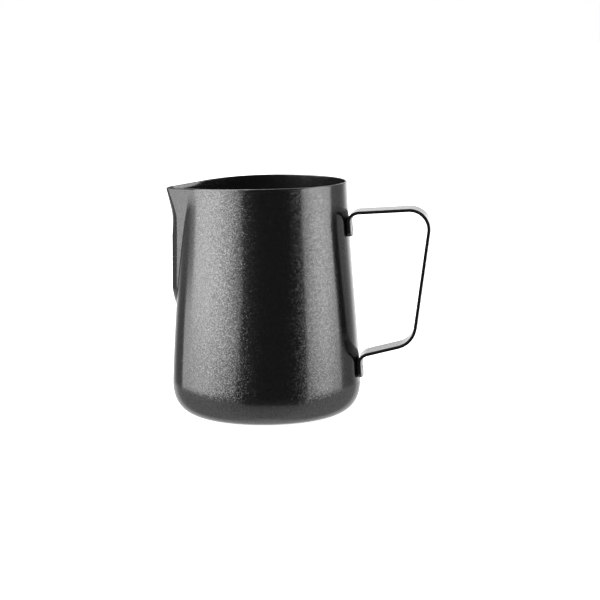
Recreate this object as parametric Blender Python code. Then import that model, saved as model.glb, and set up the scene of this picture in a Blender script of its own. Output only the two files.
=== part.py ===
"""Milk frothing pitcher of the 600 ml size.

A deep-drawn steel jug with a pressed pouring spout, and a bent strap handle that is held to the
jug by two spot welds at each foot. The origin is the centre of the base's underside, +Z is up,
+X points to the handle and the spout is at -X.
"""

import math

import bmesh
import bpy
from mathutils import Vector

MM = 0.001

# Jug wall: a flat base, a rounded corner and a wall that tapers to the rim
RIM_HEIGHT = 111.0 * MM
RIM_RADIUS = 39.0 * MM
BASE_FLAT_RADIUS = 28.4 * MM
SHOULDER_HEIGHT = 18.2 * MM
SHOULDER_RADIUS = 44.8 * MM
SHOULDER_TAPER = 0.043
RIM_TAPER = 0.033
CORNER_PULL_BASE = 17.3 * MM
CORNER_PULL_WALL = 4.5 * MM
SHEET = 0.8 * MM

# Spout: a round-nosed V pressed out of the wall, with upright flanks
FLANK_ANGLE = math.radians(38.0)
FLANK_REACH = 39.15 * MM
KEEL_REACH = 44.5 * MM
KEEL_LEAN = 0.015
KEEL_TOE_HEIGHT = 61.8 * MM
KEEL_TOE_RADIUS = 26.0 * MM
FLARE_HEIGHT = 96.2 * MM
FLARE_SLOPE = 0.28
FLARE_SOFTNESS = 2.2 * MM
CREASE_BLEND = 0.3 * MM
LIP_DIP = 3.1 * MM
LIP_DIP_SPREAD = math.radians(110.0)
LIP_DIP_DEPTH = 34.0 * MM

# Handle: one strap, bent from foot to foot
STRAP_WIDTH = 16.0 * MM
STRAP_THICKNESS = 1.5 * MM
STRAP_END_ROUND = 2.0 * MM
FOOT_GAP = 0.35 * MM
FOOT_MIDDLE = 4.0 * MM
UPPER_FOOT_END = 85.6 * MM
LOWER_FOOT_END = 18.5 * MM
RUN_START = 58.5 * MM
TOP_RUN_HEIGHT = 97.6 * MM
TOP_RUN_RISE = 0.055
LOW_RUN_HEIGHT = 32.1 * MM
LOW_RUN_RISE = 0.2475
GRIP_MIDDLE = (74.0 * MM, 60.5 * MM)
GRIP_LEAN = 0.1396
FOOT_BEND = 4.1 * MM
TOP_CORNER = 9.1 * MM
LOW_CORNER = 10.6 * MM

# Spot welds: the fused steel between each foot and the wall
WELD_RADIUS = 2.2 * MM
WELD_SPREAD = 4.0 * MM
WELD_RISE = 3.5 * MM
WELD_CLEARANCE = 0.07 * MM
WELD_THICKNESS = 0.19 * MM

# Fineness of the meshes
CORNER_ROWS = 9
LOW_WALL_ROWS = 5
SPOUT_ROWS = 18
SPOUT_FOOT_HEIGHT = 49.0 * MM
SPOUT_STEP = math.radians(3.0)
SPOUT_COLUMNS = 14
BACK_COLUMNS = 21
ARC_STEP = math.radians(11.0)
STRAP_COLUMNS = 6
END_SHARES = (0.0, 0.12, 0.4, 1.0)
SHARP_EDGE = math.radians(40.0)
WELD_SEGMENTS = 20
CORNER_HALVINGS = 40
TAPER_STEP = 0.5 * MM

COATING = (0.028, 0.028, 0.030, 1.0)
BARE_STEEL = (0.55, 0.54, 0.52, 1.0)


def clear_scene():
    for old in list(bpy.data.objects):
        bpy.data.objects.remove(old, do_unlink=True)


def material(name, colour, roughness, metallic):
    made = bpy.data.materials.new(name)
    made.use_nodes = True
    shader = made.node_tree.nodes["Principled BSDF"]
    shader.inputs["Base Color"].default_value = colour
    shader.inputs["Roughness"].default_value = roughness
    shader.inputs["Metallic"].default_value = metallic
    return made


def add_object(name, mesh_data, finish):
    made = bpy.data.objects.new(name, mesh_data)
    bpy.context.scene.collection.objects.link(made)
    mesh_data.materials.append(finish)
    return made


def corner_point(t):
    """(radius, height) on the rounded base corner, from the flat base at 0 to the wall at 1."""
    slant = math.hypot(1.0, SHOULDER_TAPER)
    start = Vector((BASE_FLAT_RADIUS, 0.0))
    end = Vector((SHOULDER_RADIUS, SHOULDER_HEIGHT))
    leave = start + Vector((CORNER_PULL_BASE, 0.0))
    arrive = end + Vector((SHOULDER_TAPER, -1.0)) * (CORNER_PULL_WALL / slant)
    rest = 1.0 - t
    return rest**3 * start + 3 * rest**2 * t * leave + 3 * rest * t**2 * arrive + t**3 * end


def wall_radius(height):
    """Outer radius of the round jug, without its spout."""
    if height < SHOULDER_HEIGHT:
        low, high = 0.0, 1.0
        for _ in range(CORNER_HALVINGS):
            middle = (low + high) / 2
            if corner_point(middle).y < height:
                low = middle
            else:
                high = middle
        return corner_point(low).x
    span = RIM_HEIGHT - SHOULDER_HEIGHT
    t = (height - SHOULDER_HEIGHT) / span
    from_shoulder = (2 * t**3 - 3 * t**2 + 1) * SHOULDER_RADIUS
    from_rim = (3 * t**2 - 2 * t**3) * RIM_RADIUS
    taper = (t**3 - 2 * t**2 + t) * SHOULDER_TAPER + (t**3 - t**2) * RIM_TAPER
    return from_shoulder + from_rim - span * taper


def wall_taper(height):
    """How far the wall leans in for each unit of height."""
    narrowing = wall_radius(height - TAPER_STEP) - wall_radius(height + TAPER_STEP)
    return narrowing / (2 * TAPER_STEP)


def keel_reach(height):
    """How far the spout's nose stands from the jug's axis."""
    reach = KEEL_REACH - KEEL_LEAN * (height - KEEL_TOE_HEIGHT)
    above = height - FLARE_HEIGHT
    reach += FLARE_SLOPE * (math.hypot(above, FLARE_SOFTNESS) + above) / 2
    below = KEEL_TOE_HEIGHT - height
    if below > 0:
        reach -= KEEL_TOE_RADIUS - math.sqrt(max(0.0, KEEL_TOE_RADIUS**2 - below**2))
    return reach


def spout_radius(angle, height):
    """Distance from the axis to the V section of the spout, in a direction off the spout's own."""
    keel = keel_reach(height)
    flank = FLANK_REACH
    if height < KEEL_TOE_HEIGHT:
        flank += keel - KEEL_REACH
    nose = (flank - keel * math.cos(FLANK_ANGLE)) / (1 - math.cos(FLANK_ANGLE))
    centre = keel - nose
    tangent = math.atan2(nose * math.sin(FLANK_ANGLE), centre + nose * math.cos(FLANK_ANGLE))
    if angle < tangent:
        across = centre * math.sin(angle)
        return centre * math.cos(angle) + math.sqrt(nose**2 - across**2)
    if angle < FLANK_ANGLE:
        return flank / math.cos(FLANK_ANGLE - angle)
    return flank * math.cos(min(angle - FLANK_ANGLE, math.pi / 2))


def lip_dip(angle, height):
    """How far the pressing of the spout draws the sheet down, most at the lip's tip."""
    near = max(0.0, 1.0 - angle / LIP_DIP_SPREAD) ** 2
    t = max(0.0, 1.0 - (RIM_HEIGHT - height) / LIP_DIP_DEPTH)
    return LIP_DIP * near * t * t * (3 - 2 * t)


def outer_point(direction, radius, height):
    """A point on the jug's outer face. direction is measured from -X, towards +Y when positive."""
    angle = abs(direction)
    if height > SPOUT_FOOT_HEIGHT:
        height -= lip_dip(angle, height)
        wall = wall_radius(height)
        spout = spout_radius(angle, height)
        overlap = max(0.0, 1.0 - abs(wall - spout) / CREASE_BLEND)
        radius = max(wall, spout) + CREASE_BLEND * overlap**2 / 4
    return Vector((-radius * math.cos(direction), radius * math.sin(direction), height))


def column_directions():
    """Directions round the jug, close together across the spout."""
    half = [SPOUT_STEP * i for i in range(SPOUT_COLUMNS + 1)]
    back = math.pi - half[-1]
    half += [half[-1] + back * (i + 1) / (BACK_COLUMNS + 1) for i in range(BACK_COLUMNS)]
    return half + [math.pi] + [-angle for angle in reversed(half[1:])]


def make_jug_body(finish):
    rows = [tuple(corner_point(i / CORNER_ROWS)) for i in range(CORNER_ROWS)]
    low_rise = (SPOUT_FOOT_HEIGHT - SHOULDER_HEIGHT) / LOW_WALL_ROWS
    rise = (RIM_HEIGHT - SPOUT_FOOT_HEIGHT) / SPOUT_ROWS
    heights = [SHOULDER_HEIGHT + low_rise * i for i in range(LOW_WALL_ROWS)]
    heights += [SPOUT_FOOT_HEIGHT + rise * i for i in range(SPOUT_ROWS + 1)]
    rows += [(wall_radius(height), height) for height in heights]
    mesh = bmesh.new()
    rings = []
    for radius, height in rows:
        points = [outer_point(angle, radius, height) for angle in column_directions()]
        rings.append([mesh.verts.new(point) for point in points])
    mesh.faces.new(rings[0])
    for lower, upper in zip(rings, rings[1:]):
        for i in range(len(lower)):
            mesh.faces.new((lower[i - 1], upper[i - 1], upper[i], lower[i]))
    bmesh.ops.recalc_face_normals(mesh, faces=mesh.faces)
    data = bpy.data.meshes.new("jug_body")
    mesh.to_mesh(data)
    mesh.free()
    data.shade_smooth()
    body = add_object("jug_body", data, finish)
    skin = body.modifiers.new("sheet", "SOLIDIFY")
    skin.thickness = SHEET
    skin.offset = -1.0
    skin.use_even_offset = True
    return body


def line_meet(point_a, slope_a, point_b, slope_b):
    """Where two lines meet: a is x as a function of z, b is z as a function of x."""
    z = (point_b[1] + slope_b * (point_a[0] - point_b[0] - slope_a * point_a[1])) / (
        1 - slope_a * slope_b
    )
    return Vector((point_a[0] + slope_a * (z - point_a[1]), z))


def foot_line(end_height):
    """A point and the slope (x over z) of the strap's middle along one foot."""
    height = end_height + FOOT_MIDDLE
    stand_off = FOOT_GAP + STRAP_THICKNESS / 2
    return (wall_radius(height) + stand_off, height), -wall_taper(height)


def strap_corners():
    """The strap's middle line as straight runs, from the upper foot's end to the lower one's."""
    upper, upper_slope = foot_line(UPPER_FOOT_END)
    lower, lower_slope = foot_line(LOWER_FOOT_END)
    top_run = ((RUN_START, TOP_RUN_HEIGHT), TOP_RUN_RISE)
    low_run = ((RUN_START, LOW_RUN_HEIGHT), LOW_RUN_RISE)
    grip = (GRIP_MIDDLE, GRIP_LEAN)
    start = Vector((upper[0] + upper_slope * (UPPER_FOOT_END - upper[1]), UPPER_FOOT_END))
    end = Vector((lower[0] + lower_slope * (LOWER_FOOT_END - lower[1]), LOWER_FOOT_END))
    return [
        start,
        line_meet(upper, upper_slope, *top_run),
        line_meet(*grip, *top_run),
        line_meet(*grip, *low_run),
        line_meet(lower, lower_slope, *low_run),
        end,
    ]


def foot_stations(tip, heading):
    """Stations over a foot's rounded end, from its tip inwards along heading."""
    along = Vector((math.cos(heading), math.sin(heading)))
    return [
        (tip + along * STRAP_END_ROUND * share, heading, end_half_width(share), 1.0)
        for share in END_SHARES
    ]


def end_half_width(share):
    """Half the strap's width over its end, whose two corners are rounded, at a share of the round."""
    return STRAP_WIDTH / 2 - STRAP_END_ROUND * (1 - math.sqrt(1 - (1 - share) ** 2))


def bend_stations(corner, into, out, bend, curl_from, curl_to):
    """Stations round one bend of the strap, between its headings into and out of the corner."""
    turn = math.atan2(into.cross(out), into.dot(out))
    inward = math.copysign(bend, turn)
    steps = max(2, round(abs(turn) / ARC_STEP))
    begin = corner - into * bend * math.tan(abs(turn) / 2)
    centre = begin + Vector((-into.y, into.x)) * inward
    facing = math.atan2(into.y, into.x)
    stations = []
    for i in range(steps + 1):
        share = i / steps
        heading = facing + turn * share
        point = centre + Vector((math.sin(heading), -math.cos(heading))) * inward
        fade = share * share * (3 - 2 * share)
        curl = curl_from + (curl_to - curl_from) * fade
        stations.append((point, heading, STRAP_WIDTH / 2, curl))
    return stations


def strap_stations():
    """(middle point, heading, half width, curl) along the strap. A curl of 1 follows the wall."""
    corners = strap_corners()
    bends = [FOOT_BEND, TOP_CORNER, LOW_CORNER, FOOT_BEND]
    curls = [(1.0, 0.0), (0.0, 0.0), (0.0, 0.0), (0.0, 1.0)]
    headings = [(b - a).normalized() for a, b in zip(corners, corners[1:])]
    stations = []
    for corner, into, out, bend, curl in zip(corners[1:-1], headings, headings[1:], bends, curls):
        stations += bend_stations(corner, into, out, bend, *curl)
    first, last = stations[0][1], stations[-1][1]
    starts = foot_stations(corners[0], first)
    ends = foot_stations(corners[-1], last + math.pi)
    return starts + stations + [(end[0], last, *end[2:]) for end in reversed(ends)]


def make_strap_handle(finish):
    mesh = bmesh.new()
    rings = []
    for point, heading, half, curl in strap_stations():
        across = Vector((-math.sin(heading), 0.0, math.cos(heading)))
        wall = wall_radius(point.y)
        ring = []
        for side in (1, -1):
            for j in range(STRAP_COLUMNS + 1):
                y = half * (2 * j / STRAP_COLUMNS - 1) * side
                sag = curl * (wall - math.sqrt(wall**2 - y**2))
                middle = Vector((point.x - sag, y, point.y))
                ring.append(mesh.verts.new(middle + across * side * STRAP_THICKNESS / 2))
        rings.append(ring)
    for ring, following in zip(rings, rings[1:]):
        for i in range(len(ring)):
            mesh.faces.new((ring[i - 1], ring[i], following[i], following[i - 1]))
    mesh.faces.new(rings[0])
    mesh.faces.new(rings[-1])
    bmesh.ops.recalc_face_normals(mesh, faces=mesh.faces)
    data = bpy.data.meshes.new("strap_handle")
    mesh.to_mesh(data)
    mesh.free()
    data.shade_smooth()
    data.set_sharp_from_angle(angle=SHARP_EDGE)
    return add_object("strap_handle", data, finish)


def make_spot_weld(name, height, y_centre, finish):
    """A thin lens of fused steel in the gap between the wall and a foot."""
    mesh = bmesh.new()
    skins = []
    for stand_off in (WELD_CLEARANCE, WELD_CLEARANCE + WELD_THICKNESS):
        ring = []
        for i in range(WELD_SEGMENTS):
            turn = 2 * math.pi * i / WELD_SEGMENTS
            y = y_centre + WELD_RADIUS * math.cos(turn)
            z = height + WELD_RADIUS * math.sin(turn)
            reach = wall_radius(z) + stand_off
            ring.append(mesh.verts.new((math.sqrt(reach**2 - y**2), y, z)))
        reach = wall_radius(height) + stand_off
        centre = mesh.verts.new((math.sqrt(reach**2 - y_centre**2), y_centre, height))
        for i in range(WELD_SEGMENTS):
            mesh.faces.new((ring[i - 1], ring[i], centre))
        skins.append(ring)
    inner, outer = skins
    for i in range(WELD_SEGMENTS):
        mesh.faces.new((inner[i - 1], inner[i], outer[i], outer[i - 1]))
    bmesh.ops.recalc_face_normals(mesh, faces=mesh.faces)
    data = bpy.data.meshes.new(name)
    mesh.to_mesh(data)
    mesh.free()
    data.shade_smooth()
    return add_object(name, data, finish)


def main():
    clear_scene()
    coating = material("black_coating", COATING, 0.3, 0.6)
    steel = material("bare_steel", BARE_STEEL, 0.4, 1.0)
    make_jug_body(coating)
    make_strap_handle(coating)
    for foot, end in (("upper", UPPER_FOOT_END), ("lower", LOWER_FOOT_END)):
        for side, y_centre in (("left", -WELD_SPREAD), ("right", WELD_SPREAD)):
            make_spot_weld(f"spot_weld_{foot}_{side}", end + WELD_RISE, y_centre, steel)


main()
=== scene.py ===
"""Milk frothing pitcher: the looks of the coated steel jug and its strap handle."""

import math

import bmesh
import bpy
import numpy as np
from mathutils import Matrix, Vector


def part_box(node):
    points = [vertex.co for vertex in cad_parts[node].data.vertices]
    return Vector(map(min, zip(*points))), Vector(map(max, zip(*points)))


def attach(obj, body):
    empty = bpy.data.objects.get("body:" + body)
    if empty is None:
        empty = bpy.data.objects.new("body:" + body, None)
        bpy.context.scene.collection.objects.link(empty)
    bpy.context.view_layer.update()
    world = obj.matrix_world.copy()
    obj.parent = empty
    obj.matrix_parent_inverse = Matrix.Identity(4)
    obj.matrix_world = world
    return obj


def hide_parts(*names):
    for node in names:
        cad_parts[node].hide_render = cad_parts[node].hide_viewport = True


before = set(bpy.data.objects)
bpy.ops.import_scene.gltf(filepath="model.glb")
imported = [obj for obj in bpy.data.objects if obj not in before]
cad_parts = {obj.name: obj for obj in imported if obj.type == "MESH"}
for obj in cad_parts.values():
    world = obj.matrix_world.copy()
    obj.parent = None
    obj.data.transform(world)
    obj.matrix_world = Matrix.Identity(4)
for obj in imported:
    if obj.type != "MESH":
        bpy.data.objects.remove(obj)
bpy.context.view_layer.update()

MM = 0.001
jug_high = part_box("jug_body")[1]
strap_low, strap_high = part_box("strap_handle")

# Jug wall
RIM_HEIGHT = jug_high.z
RIM_RADIUS = 39.0 * MM
BASE_FLAT_RADIUS = 28.4 * MM
SHOULDER_HEIGHT = 18.2 * MM
SHOULDER_RADIUS = 44.8 * MM
SHOULDER_TAPER = 0.043
RIM_TAPER = 0.033
CORNER_PULL_BASE = 17.3 * MM
CORNER_PULL_WALL = 4.5 * MM
SHEET = 0.8 * MM
RIM_ROUND = 0.28 * MM
CORNER_ROWS = 30
LOW_ROWS = 16
SPOUT_ROWS = 96
RIM_STEPS = 4
DISC_RINGS = 5
FINE_INNER_ROWS = 8
SPOUT_SIDE = math.radians(42.0)
SPOUT_COLUMNS = 84
ROUND_COLUMNS = 60

# Spout
FLANK_ANGLE = math.radians(38.0)
FLANK_REACH = 39.15 * MM
KEEL_REACH = 44.5 * MM
KEEL_LEAN = 0.015
KEEL_TOE_HEIGHT = 61.8 * MM
KEEL_TOE_RADIUS = 26.0 * MM
FLARE_HEIGHT = 96.2 * MM
FLARE_SLOPE = 0.28
FLARE_SOFTNESS = 2.2 * MM
CREASE_BLEND = 0.3 * MM
LIP_DIP = 3.1 * MM
LIP_DIP_SPREAD = math.radians(110.0)
LIP_DIP_DEPTH = 34.0 * MM
SPOUT_FOOT_HEIGHT = 49.0 * MM
KEEL_EDGE_START = math.radians(4.5)
KEEL_EDGE = math.radians(8.2)
KEEL_EDGE_END = math.radians(12.6)
KEEL_EDGE_PROUD = 0.4 * MM
KEEL_EDGE_LOW = 54.0 * MM
KEEL_EDGE_HIGH = 93.0 * MM
KEEL_EDGE_FADE = 8.0 * MM
LIP_GRIND = 0.42 * MM
LIP_GRIND_DEPTH = 1.8 * MM
LIP_GRIND_SPREAD = math.radians(34.0)

# Handle strap
STRAP_WIDTH = strap_high.y - strap_low.y
STRAP_THICKNESS = 1.5 * MM
STRAP_END_ROUND = 2.0 * MM
STRAP_EDGE_ROUND = 0.06 * MM
FOOT_GAP = 0.35 * MM
FOOT_MIDDLE = 4.0 * MM
UPPER_FOOT_END = 85.6 * MM
LOWER_FOOT_END = 18.5 * MM
RUN_START = 58.5 * MM
TOP_RUN_HEIGHT = 97.6 * MM
TOP_RUN_RISE = 0.055
LOW_RUN_HEIGHT = 32.1 * MM
LOW_RUN_RISE = 0.2475
GRIP_MIDDLE = (73.98 * MM, 60.5 * MM)
GRIP_LEAN = 0.1396
FOOT_BEND = 4.1 * MM
TOP_CORNER = 9.1 * MM
LOW_CORNER = 10.6 * MM
WELD_SPREAD = 4.0 * MM
WELD_RISE = 3.5 * MM
DIMPLE_RADIUS = 1.9 * MM
DIMPLE_DEPTH = 0.13 * MM
DIMPLE_FULLNESS = 1.6
OUTER_FACE_FROM = 0.6
TIP_DISTANCES = (0.0, 0.03, 0.08, 0.16, 0.3, 0.5, 0.8, 1.2, 1.6, 2.0)
FOOT_ROWS = 16
RUN_STEPS = 5
BEND_STEP = math.radians(4.0)
STRAP_COLUMNS = 32
EDGE_STEPS = 4

# Coating
FLAKE_SIZE = 0.26 * MM
FLAKE_PEAK = 2.0
FLAKE_SPREAD = 1.2
FLAKE_SLANTS = (0.1, 0.34)
FLAKES_AT_SLANT = 0.3
FLAKE_ROUGHNESS = (0.16, 0.24)
FLAKE_EDGE_TINT = (0.1, 0.1, 0.1, 1.0)
OUTSIDE_TONE = 0.085
OUTSIDE_TILT = 0.68
OUTSIDE_METAL = 1.0
INSIDE_TONE = 0.07
INSIDE_TILT = 0.15
INSIDE_METAL = 0.85
SKIN_ROUGHNESS = 0.115
SKIN_IOR = 1.5
RIPPLE_SIZE = 1.6 * MM
RIPPLE_DEPTH = 0.05 * MM
RIPPLE_STRENGTH = 0.02

# Spot welds
WELD_PATCH = 1.2 * MM
WELD_ROUGHNESS = 0.38
WELD_DARK = (0.28, 0.24, 0.2, 1.0)
WELD_PALE = (0.55, 0.54, 0.52, 1.0)
WELD_DARK_UP_TO = 0.35
WELD_PALE_FROM = 0.7

# Studio. Azimuths and heights are in degrees as seen from the object: azimuth 0 is towards the
# camera and the handle's side is positive. The heights are above the horizon. A ramp is
# (from, to, value at from, value at to).
DEGREES = 180 / math.pi

# Softboxes
BOX_STRENGTH = 3.9
BOX_SOFTNESS = 3.0
BOX_TOP = (-1.0, 4.0, 1.0, 0.05)
BOX_LOW_END = (-5.5, -1.5, 0.66, 1.0)
BOX_LOWEST_END = (-11.0, -6.0, 0.82, 1.0)
LEFT_OUTER = (-4.65, -2.55, -124.8, -107.5)
LEFT_OUTER_SOFTNESS = 2.0
LEFT_INNER = -30.0
LEFT_INNER_LEAN = 1.2
LEFT_LEANS_FROM = -11.0
LEFT_STRENGTH = 0.96
LEFT_AT_INNER = (-5.5, -2.0, 0.4, 0.54)
LEFT_GROWTH = (0.0, 45.0, 0.0, 1.0)
LEFT_TOP_START = 16.0
LEFT_TOP_SLOPE = 1.4
RIGHT_INNER = 53.0
RIGHT_INNER_LEAN = 0.25
RIGHT_OUTER = 103.0
RIGHT_OUTER_LEAN = 0.4
RIGHT_LEANS_FROM = -7.0
RIGHT_NEAR = (0.0, 26.0, 0.68, 0.78)
RIGHT_FAR = (26.0, 48.0, 1.0, 0.87)
RIGHT_TOP_START = 5.0
RIGHT_TOP_SLOPE = 1.8
FAR_DROP = 0.1
FAR_DROP_RIGHT = (-6.0, 0.0, 0.18, 0.0)
FAR_TURN = (80.0, 122.0, 0.0, 1.0)

# Paper behind the object, ceiling and room
PAPER_DIM = (-6.0, -3.0, 0.27, 0.4)
PAPER_DIM_RIGHT = (-10.0, 10.0, 0.0, 0.04)
PAPER_BRIGHT = 1.05
PAPER_GLOW_START = (140.0, 156.0, 0.0, 0.55)
PAPER_GLOW_END = (172.0, 180.0, 1.0, 0.0)
PAPER_GLOW_TOP = (-2.0, 4.0, 1.0, 0.0)
PAPER_LIT_RIGHT = (126.0, 156.0, 0.0, 1.0)
PAPER_LIT_LEFT = (-168.0, -142.0, 1.0, 0.0)
PAPER_STARTS = (100.0, 110.0, 0.0, 1.0)
CEILING = (40.0, 80.0, 0.0, 0.9)
DARKEST = 0.06

# Table and floor
TABLE_EDGE = (60.0, 120.0, -14.0, -10.0)
TABLE_EDGE_DROP = -16.5
TABLE_EDGE_SOFTNESS = 2.0
TABLE_GAP_LEFT = (-46.0, -20.0, 0.0, 1.0)
TABLE_GAP_RIGHT = (42.0, 64.0, 1.0, 0.0)
TABLE_NEAR = (20.0, 90.0, 0.45, 0.6)
TABLE_FAR = (125.0, 150.0, 0.0, 0.95)
FLOOR_HALF = 6.0
FLOOR_TONE = (0.8, 0.8, 0.8, 1.0)
FLOOR_GLOW = 0.98
WHITE = (1.0, 1.0, 1.0, 1.0)

# Camera
CAMERA_PLACE = Vector((120.4, -990.8, 203.2)) * MM
CAMERA_TARGET = Vector((16.15, 1.70, 54.16)) * MM
CAMERA_LENS = 127.1
CAMERA_SENSOR = 36.0
CAMERA_REACH = 20.0
CAMERA_ROLL = math.radians(-0.5)


# ---------------------------------------------------------------- shapes of the jug


def corner_point(t):
    """(radius, height) on the rounded base corner, from the flat base at 0 to the wall at 1."""
    slant = math.hypot(1.0, SHOULDER_TAPER)
    start = Vector((BASE_FLAT_RADIUS, 0.0))
    end = Vector((SHOULDER_RADIUS, SHOULDER_HEIGHT))
    leave = start + Vector((CORNER_PULL_BASE, 0.0))
    arrive = end + Vector((SHOULDER_TAPER, -1.0)) * (CORNER_PULL_WALL / slant)
    rest = 1.0 - t
    return rest**3 * start + 3 * rest**2 * t * leave + 3 * rest * t**2 * arrive + t**3 * end


def wall_radius(height):
    """Outer radius of the round jug above its shoulder, without its spout."""
    span = RIM_HEIGHT - SHOULDER_HEIGHT
    t = (height - SHOULDER_HEIGHT) / span
    from_shoulder = (2 * t**3 - 3 * t**2 + 1) * SHOULDER_RADIUS
    from_rim = (3 * t**2 - 2 * t**3) * RIM_RADIUS
    taper = (t**3 - 2 * t**2 + t) * SHOULDER_TAPER + (t**3 - t**2) * RIM_TAPER
    return from_shoulder + from_rim - span * taper


def wall_taper(height):
    """How much the wall's radius shrinks for each metre up."""
    step = 0.5 * MM
    return (wall_radius(height - step) - wall_radius(height + step)) / (2 * step)


def keel_reach(height):
    """How far the spout's keel stands from the jug's axis, with its toe below and flare above."""
    reach = KEEL_REACH - KEEL_LEAN * (height - KEEL_TOE_HEIGHT)
    above = height - FLARE_HEIGHT
    reach += FLARE_SLOPE * (math.hypot(above, FLARE_SOFTNESS) + above) / 2
    below = KEEL_TOE_HEIGHT - height
    if below > 0:
        reach -= KEEL_TOE_RADIUS - math.sqrt(max(0.0, KEEL_TOE_RADIUS**2 - below**2))
    return reach


def spout_radius(angle, height):
    """Radius of the V spout: a round nose at the keel, then a flat flank on each side."""
    keel = keel_reach(height)
    flank = FLANK_REACH
    if height < KEEL_TOE_HEIGHT:
        flank += keel - KEEL_REACH
    nose = (flank - keel * math.cos(FLANK_ANGLE)) / (1 - math.cos(FLANK_ANGLE))
    centre = keel - nose
    tangent = math.atan2(nose * math.sin(FLANK_ANGLE), centre + nose * math.cos(FLANK_ANGLE))
    if angle < tangent:
        across = centre * math.sin(angle)
        return centre * math.cos(angle) + math.sqrt(nose**2 - across**2)
    if angle < FLANK_ANGLE:
        return flank / math.cos(FLANK_ANGLE - angle)
    return flank * math.cos(min(angle - FLANK_ANGLE, math.pi / 2))


def smooth(t):
    """A soft step from 0 to 1."""
    t = min(1.0, max(0.0, t))
    return t * t * (3 - 2 * t)


def keel_edge(angle, height):
    """How far the keel's two soft edges stand proud of its round nose."""
    if angle < KEEL_EDGE:
        rise = max(0.0, (angle - KEEL_EDGE_START) / (KEEL_EDGE - KEEL_EDGE_START)) ** 2
    else:
        rise = max(0.0, (KEEL_EDGE_END - angle) / (KEEL_EDGE_END - KEEL_EDGE)) ** 2
    level = smooth((height - KEEL_EDGE_LOW) / KEEL_EDGE_FADE)
    level *= smooth((KEEL_EDGE_HIGH - height) / KEEL_EDGE_FADE)
    return KEEL_EDGE_PROUD * rise * level


def lip_dip(angle, height):
    """How far the wall's points sink so that the rim dips towards the pouring lip."""
    near = max(0.0, 1.0 - angle / LIP_DIP_SPREAD) ** 2
    return LIP_DIP * near * smooth(1.0 - (RIM_HEIGHT - height) / LIP_DIP_DEPTH)


def outer_point(direction, radius, height):
    """A point of the outer face. direction is measured from the spout, round the axis."""
    angle = abs(direction)
    if height > SPOUT_FOOT_HEIGHT:
        height -= lip_dip(angle, height)
        wall = wall_radius(height)
        spout = spout_radius(angle, height) + keel_edge(angle, height)
        overlap = max(0.0, 1.0 - abs(wall - spout) / CREASE_BLEND)
        radius = max(wall, spout) + CREASE_BLEND * overlap**2 / 4
    return (-radius * math.cos(direction), radius * math.sin(direction), height)


def spread(start, end, count):
    """count values from start up to, but not including, end."""
    return [start + (end - start) * i / count for i in range(count)]


def jug_directions():
    """Directions once round the jug from the keel, close together over the spout."""
    half = spread(0.0, SPOUT_SIDE, SPOUT_COLUMNS) + spread(SPOUT_SIDE, math.pi, ROUND_COLUMNS)
    return half + [math.pi] + [-angle for angle in reversed(half[1:])]


def jug_grid():
    """The outer face as rows of points, from the rim of the flat base up to the rim."""
    rows = [tuple(corner_point(t)) for t in spread(0.0, 1.0, CORNER_ROWS)]
    heights = spread(SHOULDER_HEIGHT, SPOUT_FOOT_HEIGHT, LOW_ROWS)
    heights += spread(SPOUT_FOOT_HEIGHT, RIM_HEIGHT - 2 * RIM_ROUND, SPOUT_ROWS)
    heights += [RIM_HEIGHT - 2 * RIM_ROUND, RIM_HEIGHT - RIM_ROUND, RIM_HEIGHT]
    rows += [(wall_radius(height), height) for height in heights]
    turns = jug_directions()
    return np.array([[outer_point(turn, *row) for turn in turns] for row in rows])


def unit(vectors):
    return vectors / np.linalg.norm(vectors, axis=-1, keepdims=True)


def grid_normals(grid):
    """Outward normals of rows of points that run round the jug."""
    along = np.gradient(grid, axis=0)
    round_it = np.roll(grid, -1, axis=1) - np.roll(grid, 1, axis=1)
    normals = unit(np.cross(along, round_it))
    normals[0] = (0.0, 0.0, -1.0)
    return normals


def rim_rows(outer, inner, upward):
    """Rows over the rounded edge of the sheet, from the outer face to the inner one."""
    middle = (outer + inner) / 2
    outward = unit(outer - inner)
    half = np.linalg.norm(outer - inner, axis=-1, keepdims=True) / 2
    curl = RIM_ROUND * (2 * half / SHEET) ** 2
    made = []
    for side in (1, -1):
        for i in range(RIM_STEPS + 1):
            share = i / RIM_STEPS
            turn = math.pi / 2 * (share if side > 0 else 1 - share)
            level = side * (half - curl + curl * math.cos(turn))
            made.append(middle + outward * level + upward * curl * (math.sin(turn) - 1))
    return made


def base_rows(ring):
    """Rows from near a flat disc's centre out to its ring, without the ring, and the centre."""
    centre = ring.mean(axis=0)
    rows = [centre + (ring - centre) * (i + 1) / (DISC_RINGS + 1) for i in range(DISC_RINGS)]
    return rows, centre


def sheet_thickness(outer):
    """The sheet, ground thinner on the inside of the pouring lip."""
    depth = (outer[-1, :, 2] - outer[..., 2]) / LIP_GRIND_DEPTH
    turn = np.abs(np.arctan2(outer[..., 1], -outer[..., 0])) / LIP_GRIND_SPREAD
    near_lip = np.clip(1.0 - depth, 0.0, 1.0)
    near_spout = np.clip(2.0 - 2.0 * turn, 0.0, 1.0)
    return SHEET - LIP_GRIND * near_lip * near_spout


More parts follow.
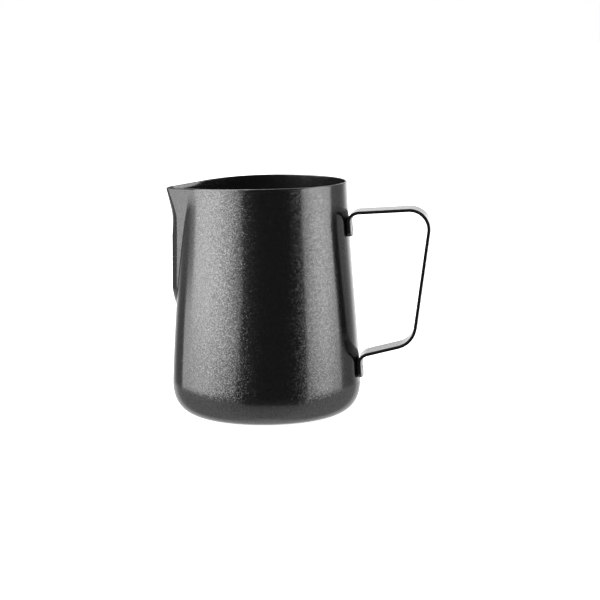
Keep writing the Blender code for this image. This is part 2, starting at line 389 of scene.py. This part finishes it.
def make_jug():
    """The jug as one closed sheet: outer face, rounded rim and inner face, in two slots."""
    outer = jug_grid()
    # no wider than the CAD jug, whose facets cut a little inside the true round
    outer[..., :2] *= jug_high.y / outer[..., 1].max()
    normals = grid_normals(outer)
    inner = outer - normals * sheet_thickness(outer)[..., None]
    upward = unit(outer[-1] - outer[-2])
    under, under_centre = base_rows(outer[0])
    floor, floor_centre = base_rows(inner[0])
    rows = under + list(outer[:-2]) + rim_rows(outer[-1], inner[-1], upward)
    # the inner face starts at the last row of the rim
    inside_from = len(rows) - 1
    downward = inner[-3::-1]
    rows += list(downward[:FINE_INNER_ROWS]) + list(downward[FINE_INNER_ROWS::2]) + floor[::-1]
    mesh = bmesh.new()
    rings = [[mesh.verts.new(point) for point in row] for row in rows]
    for k, (lower, upper) in enumerate(zip(rings, rings[1:])):
        for i in range(len(lower)):
            face = mesh.faces.new((lower[i - 1], upper[i - 1], upper[i], lower[i]))
            face.material_index = int(k >= inside_from)
    for ring, centre, inside in ((rings[0], under_centre, 0), (rings[-1], floor_centre, 1)):
        point = mesh.verts.new(centre)
        for i in range(len(ring)):
            mesh.faces.new((ring[i - 1], ring[i], point)).material_index = inside
    return finished("jug", mesh)


def finished(name, mesh):
    """A smooth-shaded object in the scene, made from a bmesh."""
    bmesh.ops.recalc_face_normals(mesh, faces=mesh.faces)
    data = bpy.data.meshes.new(name)
    mesh.to_mesh(data)
    mesh.free()
    data.shade_smooth()
    made = bpy.data.objects.new(name, data)
    bpy.context.scene.collection.objects.link(made)
    return made


# ---------------------------------------------------------------- shapes of the handle


def line_meet(point_a, slope_a, point_b, slope_b):
    """Where two lines meet: a is x as a function of z, b is z as a function of x."""
    offset = point_b[1] + slope_b * (point_a[0] - point_b[0] - slope_a * point_a[1])
    z = offset / (1 - slope_a * slope_b)
    return Vector((point_a[0] + slope_a * (z - point_a[1]), z))


def foot_line(end_height):
    """The middle line of a foot: a point (x, z) on it, and its slope, x for each z."""
    height = end_height + FOOT_MIDDLE
    stand_off = FOOT_GAP + STRAP_THICKNESS / 2
    return (wall_radius(height) + stand_off, height), -wall_taper(height)


def strap_corners():
    """The strap's middle line as sharp corners (x, z), from the upper tip to the lower one."""
    upper, upper_slope = foot_line(UPPER_FOOT_END)
    lower, lower_slope = foot_line(LOWER_FOOT_END)
    top_run = ((RUN_START, TOP_RUN_HEIGHT), TOP_RUN_RISE)
    low_run = ((RUN_START, LOW_RUN_HEIGHT), LOW_RUN_RISE)
    grip = (GRIP_MIDDLE, GRIP_LEAN)
    start = Vector((upper[0] + upper_slope * (UPPER_FOOT_END - upper[1]), UPPER_FOOT_END))
    end = Vector((lower[0] + lower_slope * (LOWER_FOOT_END - lower[1]), LOWER_FOOT_END))
    return [
        start,
        line_meet(upper, upper_slope, *top_run),
        line_meet(*grip, *top_run),
        line_meet(*grip, *low_run),
        line_meet(lower, lower_slope, *low_run),
        end,
    ]


def bend_stations(corner, into, out, bend, curl_from, curl_to):
    """(middle point, heading, curl) round one bend. curl is 1 where the strap hugs the wall."""
    turn = math.atan2(into.cross(out), into.dot(out))
    inward = math.copysign(bend, turn)
    steps = max(2, round(abs(turn) / BEND_STEP))
    begin = corner - into * bend * math.tan(abs(turn) / 2)
    centre = begin + Vector((-into.y, into.x)) * inward
    facing = math.atan2(into.y, into.x)
    stations = []
    for i in range(steps + 1):
        share = i / steps
        heading = facing + turn * share
        point = centre + Vector((math.sin(heading), -math.cos(heading))) * inward
        stations.append((point, heading, curl_from + (curl_to - curl_from) * smooth(share)))
    return stations


def edge_fall(distance, round_radius):
    """How far a rounded edge has fallen away at a distance in from the end."""
    if distance >= round_radius:
        return 0.0
    return round_radius - math.sqrt(round_radius**2 - (round_radius - distance) ** 2)


def foot_distances(length):
    """Distances from a foot's tip: close together over its rounded end, then even to its bend."""
    near = [distance * MM for distance in TIP_DISTANCES]
    return near + spread(near[-1], length, FOOT_ROWS)[1:]


def foot_stations(tip, first, toward):
    """(point, heading, curl, distance from the tip) along a straight foot up to its bend."""
    along = first - tip
    length = along.length
    along.normalize()
    return [(tip + along * d, toward, 1.0, d) for d in foot_distances(length)]


def strap_stations():
    """(point, heading, curl, distance from the nearer tip) along the whole strap."""
    corners = strap_corners()
    bends = [FOOT_BEND, TOP_CORNER, LOW_CORNER, FOOT_BEND]
    curls = [(1.0, 0.0), (0.0, 0.0), (0.0, 0.0), (0.0, 1.0)]
    headings = [(b - a).normalized() for a, b in zip(corners, corners[1:])]
    middle = []
    for corner, into, out, bend, curl in zip(corners[1:-1], headings, headings[1:], bends, curls):
        new = bend_stations(corner, into, out, bend, *curl)
        if middle:
            (start, heading, _), (end, _, _) = middle[-1], new[0]
            steps = range(1, RUN_STEPS)
            middle += [(start.lerp(end, i / RUN_STEPS), heading, 0.0) for i in steps]
        middle += new
    middle = [(*station, math.inf) for station in middle]
    starts = foot_stations(corners[0], middle[0][0], middle[0][1])
    ends = foot_stations(corners[-1], middle[-1][0], middle[-1][1])
    return starts + middle + ends[::-1]


def strap_section(half_width, half_thickness):
    """The strap's outline as (across the width, across the thickness), corners rounded."""
    corner = min(STRAP_EDGE_ROUND, half_thickness)
    flat = half_width - corner

    def rounded(share):
        turn = math.pi / 2 * share
        return flat + corner * math.sin(turn), half_thickness - corner * (1 - math.cos(turn))

    made = []
    for side in (1, -1):
        for i in range(STRAP_COLUMNS):
            made.append((flat * (2 * i / STRAP_COLUMNS - 1) * side, half_thickness * side))
        for i in range(EDGE_STEPS + 1):
            y, level = rounded(i / EDGE_STEPS)
            made.append((y * side, level * side))
        if half_thickness > corner:
            made.append((half_width * side, 0.0))
        for i in range(EDGE_STEPS):
            y, level = rounded(1 - i / EDGE_STEPS)
            made.append((y * side, -level * side))
    return made


def dimple(y, height):
    """Depth of the electrode marks of the spot welds at a place on a foot's outer face."""
    depth = 0.0
    for foot_end in (UPPER_FOOT_END, LOWER_FOOT_END):
        for centre in (-WELD_SPREAD, WELD_SPREAD):
            apart = math.hypot(y - centre, height - foot_end - WELD_RISE) / DIMPLE_RADIUS
            if apart < 1:
                depth += DIMPLE_DEPTH * min(1.0, DIMPLE_FULLNESS * (1 - apart**2) ** 1.5)
    return depth


def make_strap():
    """The bent strap as one closed skin, its feet curled to the wall and marked by the welds."""
    mesh = bmesh.new()
    rings = []
    for point, heading, curl, distance in strap_stations():
        across = Vector((-math.sin(heading), 0.0, math.cos(heading)))
        half_width = STRAP_WIDTH / 2 - edge_fall(distance, STRAP_END_ROUND)
        half_thickness = STRAP_THICKNESS / 2 - edge_fall(distance, STRAP_EDGE_ROUND)
        wall = wall_radius(max(point.y, SHOULDER_HEIGHT))
        ring = []
        for y, level in strap_section(half_width, half_thickness):
            sag = curl * (wall - math.sqrt(wall**2 - y**2))
            place = Vector((point.x - sag, y, point.y)) + across * level
            # the welds' marks are on the outer face of a foot only
            if curl == 1.0 and across.x * level > OUTER_FACE_FROM * half_thickness:
                place.x -= dimple(y, point.y)
            ring.append(mesh.verts.new(place))
        rings.append(ring)
    for ring, following in zip(rings, rings[1:]):
        for i in range(len(ring)):
            mesh.faces.new((ring[i - 1], ring[i], following[i], following[i - 1]))
    mesh.faces.new(rings[0])
    mesh.faces.new(rings[-1])
    return finished("handle", mesh)


# ---------------------------------------------------------------- materials


def new_material(name):
    """A node material, its tree and its Principled shader."""
    made = bpy.data.materials.new(name)
    made.use_nodes = True
    tree = made.node_tree
    return made, tree, tree.nodes["Principled BSDF"]


def add_node(tree, kind, **settings):
    """A new node with its settings, such as its operation."""
    node = tree.nodes.new(kind)
    for key, value in settings.items():
        setattr(node, key, value)
    return node


def set_inputs(node, **values):
    """Sets sockets by name, with an underscore for each space."""
    for key, value in values.items():
        node.inputs[key.replace("_", " ")].default_value = value


class Maths:
    """Builds chains of maths nodes in one tree."""

    def __init__(self, tree):
        self.tree = tree

    def __call__(self, operation, *values):
        """The result of one operation on numbers and other nodes' results."""
        node = self.tree.nodes.new("ShaderNodeMath")
        node.operation = operation
        for socket, value in zip(node.inputs, values):
            if isinstance(value, (int, float)):
                socket.default_value = value
            else:
                self.tree.links.new(value, socket)
        return node.outputs[0]

    def product(self, first, *rest):
        """All the values multiplied together."""
        for value in rest:
            first = self("MULTIPLY", first, value)
        return first

    def mix(self, start, end, share):
        """start where share is 0, end where share is 1, and a mix of the two between."""
        return self("ADD", self.product(self("SUBTRACT", end, start), share), start)

    def ramp(self, value, low, high, at_low, at_high):
        """A smooth step from at_low to at_high as value goes from low to high."""
        node = self.tree.nodes.new("ShaderNodeMapRange")
        node.interpolation_type = "SMOOTHSTEP"
        self.tree.links.new(value, node.inputs["Value"])
        ends = {"From Min": low, "From Max": high, "To Min": at_low, "To Max": at_high}
        for key, number in ends.items():
            node.inputs[key].default_value = number
        return node.outputs["Result"]

    def past(self, value, edge, softness):
        """1 where value is above edge, 0 below it, with a soft step between."""
        return self.ramp(self("SUBTRACT", value, edge), -softness / 2, softness / 2, 0.0, 1.0)


def coating(name, flake_tone, flake_tilt, metal):
    """Dark coating with mica flakes under a clear, slightly rippled skin."""
    made, tree, shader = new_material(name)
    link = tree.links.new
    maths = Maths(tree)
    place = add_node(tree, "ShaderNodeTexCoord")
    flakes = add_node(tree, "ShaderNodeTexVoronoi", voronoi_dimensions="3D", feature="F1")
    set_inputs(flakes, Scale=1.0 / FLAKE_SIZE, Randomness=1.0)
    link(place.outputs["Object"], flakes.inputs["Vector"])
    # each flake lies at its own small angle; at a slant the clear skin's gloss covers it
    slant = add_node(tree, "ShaderNodeLayerWeight")
    slant.inputs["Blend"].default_value = 0.5
    facing = slant.outputs["Facing"]
    tilt = maths.ramp(facing, *FLAKE_SLANTS, flake_tilt, flake_tilt * FLAKES_AT_SLANT)
    centred = add_node(tree, "ShaderNodeVectorMath", operation="SUBTRACT")
    centred.inputs[1].default_value = (0.5, 0.5, 0.5)
    link(flakes.outputs["Color"], centred.inputs[0])
    apart = add_node(tree, "ShaderNodeVectorMath", operation="ABSOLUTE")
    link(centred.outputs["Vector"], apart.inputs[0])
    peaked = add_node(tree, "ShaderNodeVectorMath", operation="MULTIPLY")
    link(centred.outputs["Vector"], peaked.inputs[0])
    link(apart.outputs["Vector"], peaked.inputs[1])
    tilted = add_node(tree, "ShaderNodeVectorMath", operation="SCALE")
    link(tilt, tilted.inputs["Scale"])
    link(peaked.outputs["Vector"], tilted.inputs[0])
    surface = add_node(tree, "ShaderNodeNewGeometry")
    mixed = add_node(tree, "ShaderNodeVectorMath", operation="ADD")
    link(surface.outputs["Normal"], mixed.inputs[0])
    link(tilted.outputs["Vector"], mixed.inputs[1])
    normal = add_node(tree, "ShaderNodeVectorMath", operation="NORMALIZE")
    link(mixed.outputs["Vector"], normal.inputs[0])
    link(normal.outputs["Vector"], shader.inputs["Normal"])
    # some flakes are brighter than the rest, and flake_tone is their mean
    bands = add_node(tree, "ShaderNodeSeparateColor")
    link(flakes.outputs["Color"], bands.inputs["Color"])
    bright = maths.product(maths("POWER", bands.outputs["Blue"], FLAKE_PEAK), FLAKE_SPREAD)
    level = maths("ADD", bright, 1.0 - FLAKE_SPREAD / (FLAKE_PEAK + 1))
    link(maths.product(level, flake_tone), shader.inputs["Base Color"])
    roughness = maths.ramp(bands.outputs["Green"], 0.0, 1.0, *FLAKE_ROUGHNESS)
    link(roughness, shader.inputs["Roughness"])
    ripple = add_node(tree, "ShaderNodeTexNoise")
    set_inputs(ripple, Scale=1.0 / RIPPLE_SIZE, Detail=2.0, Roughness=0.5)
    link(place.outputs["Object"], ripple.inputs["Vector"])
    skin = add_node(tree, "ShaderNodeBump")
    set_inputs(skin, Strength=RIPPLE_STRENGTH, Distance=RIPPLE_DEPTH)
    link(ripple.outputs["Fac"], skin.inputs["Height"])
    link(skin.outputs["Normal"], shader.inputs["Coat Normal"])
    set_inputs(shader, Metallic=metal, Specular_Tint=FLAKE_EDGE_TINT)
    set_inputs(shader, Coat_Weight=1.0, Coat_Roughness=SKIN_ROUGHNESS, Coat_IOR=SKIN_IOR)
    return made


def weld_steel():
    """Bare fused steel, heat-tinted in patches."""
    made, tree, shader = new_material("fused_steel")
    link = tree.links.new
    place = add_node(tree, "ShaderNodeTexCoord")
    patches = add_node(tree, "ShaderNodeTexNoise")
    set_inputs(patches, Scale=1.0 / WELD_PATCH, Detail=3.0)
    link(place.outputs["Object"], patches.inputs["Vector"])
    tone = add_node(tree, "ShaderNodeValToRGB")
    stops = tone.color_ramp.elements
    stops[0].position, stops[0].color = WELD_DARK_UP_TO, WELD_DARK
    stops[1].position, stops[1].color = WELD_PALE_FROM, WELD_PALE
    link(patches.outputs["Fac"], tone.inputs["Fac"])
    link(tone.outputs["Color"], shader.inputs["Base Color"])
    set_inputs(shader, Metallic=1.0, Roughness=WELD_ROUGHNESS)
    return made


# ---------------------------------------------------------------- studio


def directions(tree, maths, facing):
    """Signed azimuth, its size, and height above the horizon, of the direction a ray comes from."""
    place = tree.nodes.new("ShaderNodeTexCoord")
    turned = add_node(tree, "ShaderNodeVectorRotate", rotation_type="Z_AXIS")
    turned.inputs["Angle"].default_value = -facing
    tree.links.new(place.outputs["Generated"], turned.inputs["Vector"])
    axes = tree.nodes.new("ShaderNodeSeparateXYZ")
    tree.links.new(turned.outputs["Vector"], axes.inputs["Vector"])
    x, y, z = (axes.outputs[key] for key in "XYZ")
    azimuth = maths.product(maths("ARCTAN2", x, maths.product(y, -1.0)), DEGREES)
    rise = maths.product(maths("ARCSINE", z), DEGREES)
    return azimuth, maths("ABSOLUTE", azimuth), rise


def softboxes(maths, azimuth, turn, rise):
    """Two tall softboxes with leaning edges, the left one dimmest at its inner edge."""
    left_leans = maths("MAXIMUM", rise, LEFT_LEANS_FROM)
    left_inner = maths("ADD", maths.product(left_leans, LEFT_INNER_LEAN), LEFT_INNER)
    left_outer = maths.ramp(rise, *LEFT_OUTER)
    right_leans = maths("MAXIMUM", rise, RIGHT_LEANS_FROM)
    right_inner = maths("ADD", maths.product(right_leans, RIGHT_INNER_LEAN), RIGHT_INNER)
    right_outer = maths("SUBTRACT", RIGHT_OUTER, maths.product(right_leans, RIGHT_OUTER_LEAN))
    into_left = maths("SUBTRACT", left_inner, azimuth)
    into_right = maths("SUBTRACT", azimuth, right_inner)
    left = maths.product(
        maths.past(azimuth, left_outer, LEFT_OUTER_SOFTNESS),
        maths.past(left_inner, azimuth, BOX_SOFTNESS),
        maths.mix(maths.ramp(rise, *LEFT_AT_INNER), 1.0, maths.ramp(into_left, *LEFT_GROWTH)),
        LEFT_STRENGTH,
    )
    right = maths.product(
        maths.past(azimuth, right_inner, BOX_SOFTNESS),
        maths.past(right_outer, azimuth, BOX_SOFTNESS),
        maths.ramp(into_right, *RIGHT_NEAR),
        maths.ramp(into_right, *RIGHT_FAR),
    )
    # their tops rise outwards, and they dim at the top, at the low end and on the far side
    left_top = maths.product(maths("SUBTRACT", into_left, LEFT_TOP_START), LEFT_TOP_SLOPE)
    right_top = maths.product(maths("SUBTRACT", into_right, RIGHT_TOP_START), RIGHT_TOP_SLOPE)
    top = maths("MAXIMUM", maths("MAXIMUM", left_top, right_top), 0.0)
    on_right = maths("GREATER_THAN", azimuth, 0.0)
    drop = maths("ADD", maths.product(maths.ramp(rise, *FAR_DROP_RIGHT), on_right), FAR_DROP)
    return maths.product(
        maths("ADD", left, right),
        maths.ramp(maths("SUBTRACT", rise, top), *BOX_TOP),
        maths.ramp(rise, *BOX_LOW_END),
        maths.ramp(rise, *BOX_LOWEST_END),
        maths("SUBTRACT", 1.0, maths.product(drop, maths.ramp(turn, *FAR_TURN))),
        BOX_STRENGTH,
    )


def cyclorama(maths, azimuth, turn, rise):
    """White paper behind the object, lit at its middle, a pale ceiling, and a dark room."""
    dim = maths("ADD", maths.ramp(rise, *PAPER_DIM), maths.ramp(azimuth, *PAPER_DIM_RIGHT))
    glow = maths.product(
        maths.ramp(azimuth, *PAPER_GLOW_START),
        maths.ramp(azimuth, *PAPER_GLOW_END),
        maths.ramp(rise, *PAPER_GLOW_TOP),
    )
    lit_right = maths.ramp(azimuth, *PAPER_LIT_RIGHT)
    lit = maths("MAXIMUM", lit_right, maths.ramp(azimuth, *PAPER_LIT_LEFT))
    paper = maths.mix(dim, maths("ADD", glow, PAPER_BRIGHT), lit)
    behind = maths.product(paper, maths.ramp(turn, *PAPER_STARTS))
    return maths("MAXIMUM", maths("MAXIMUM", behind, maths.ramp(rise, *CEILING)), DARKEST)


def with_table(maths, upper, azimuth, turn, rise):
    """The light above the pale table's far edge, and the table's own below it. The edge shows
    just under the softboxes, and lower down between them."""
    gap = maths.product(
        maths.ramp(azimuth, *TABLE_GAP_LEFT),
        maths.ramp(azimuth, *TABLE_GAP_RIGHT),
    )
    edge = maths("ADD", maths.product(gap, TABLE_EDGE_DROP), maths.ramp(turn, *TABLE_EDGE))
    table = maths("MAXIMUM", maths.ramp(turn, *TABLE_NEAR), maths.ramp(turn, *TABLE_FAR))
    return maths.mix(table, upper, maths.past(rise, edge, TABLE_EDGE_SOFTNESS))


def make_studio(facing):
    """Softboxes beside the object, a cyclorama behind it, darkness behind the camera and a pale
    table, as light from all round. facing is the camera's azimuth, and the backdrop is white."""
    world = bpy.data.worlds.new("studio")
    bpy.context.scene.world = world
    world.use_nodes = True
    tree = world.node_tree
    maths = Maths(tree)
    around = directions(tree, maths, facing)
    upper = maths("MAXIMUM", softboxes(maths, *around), cyclorama(maths, *around))
    light = with_table(maths, upper, *around)
    seen = tree.nodes.new("ShaderNodeLightPath").outputs["Is Camera Ray"]
    background = tree.nodes["Background"]
    tree.links.new(maths.mix(light, 1.0, seen), background.inputs["Strength"])
    set_inputs(background, Color=WHITE)


def make_floor():
    """A plain pale floor, which the object's gloss doesn't show."""
    mesh = bmesh.new()
    signs = ((-1, -1), (1, -1), (1, 1), (-1, 1))
    mesh.faces.new([mesh.verts.new((x * FLOOR_HALF, y * FLOOR_HALF, 0.0)) for x, y in signs])
    floor = finished("floor", mesh)
    made, _, shader = new_material("pale_floor")
    set_inputs(shader, Base_Color=FLOOR_TONE, Roughness=1.0)
    set_inputs(shader, Emission_Color=WHITE, Emission_Strength=FLOOR_GLOW)
    shader.inputs["Specular IOR Level"].default_value = 0.0
    floor.data.materials.append(made)
    floor.visible_glossy = False


def make_camera():
    """The camera stands a little to the handle's side and above the rim. Returns its azimuth."""
    data = bpy.data.cameras.new("camera")
    data.lens = CAMERA_LENS
    data.sensor_width = CAMERA_SENSOR
    data.clip_end = CAMERA_REACH
    camera = bpy.data.objects.new("camera", data)
    bpy.context.scene.collection.objects.link(camera)
    towards = CAMERA_TARGET - CAMERA_PLACE
    camera.matrix_world = towards.to_track_quat("-Z", "Y").to_matrix().to_4x4()
    camera.location = CAMERA_PLACE
    camera.rotation_mode = "XYZ"
    camera.rotation_euler.rotate_axis("Z", CAMERA_ROLL)
    bpy.context.scene.camera = camera
    return math.atan2(-towards.x, towards.y)


def main():
    coat = coating("coating", OUTSIDE_TONE, OUTSIDE_TILT, OUTSIDE_METAL)
    inside = coating("coating_inside", INSIDE_TONE, INSIDE_TILT, INSIDE_METAL)
    handle_coat = coating("coating_handle", OUTSIDE_TONE, OUTSIDE_TILT, OUTSIDE_METAL)
    jug = make_jug()
    jug.data.materials.append(coat)
    jug.data.materials.append(inside)
    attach(jug, "root")
    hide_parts("jug_body")
    handle = make_strap()
    handle.data.materials.append(handle_coat)
    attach(handle, "root")
    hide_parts("strap_handle")
    steel = weld_steel()
    for name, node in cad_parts.items():
        if name.startswith("spot_weld"):
            node.data.materials.clear()
            node.data.materials.append(steel)
    make_floor()
    make_studio(facing=make_camera())
    bpy.context.scene.view_settings.view_transform = "Standard"


main()
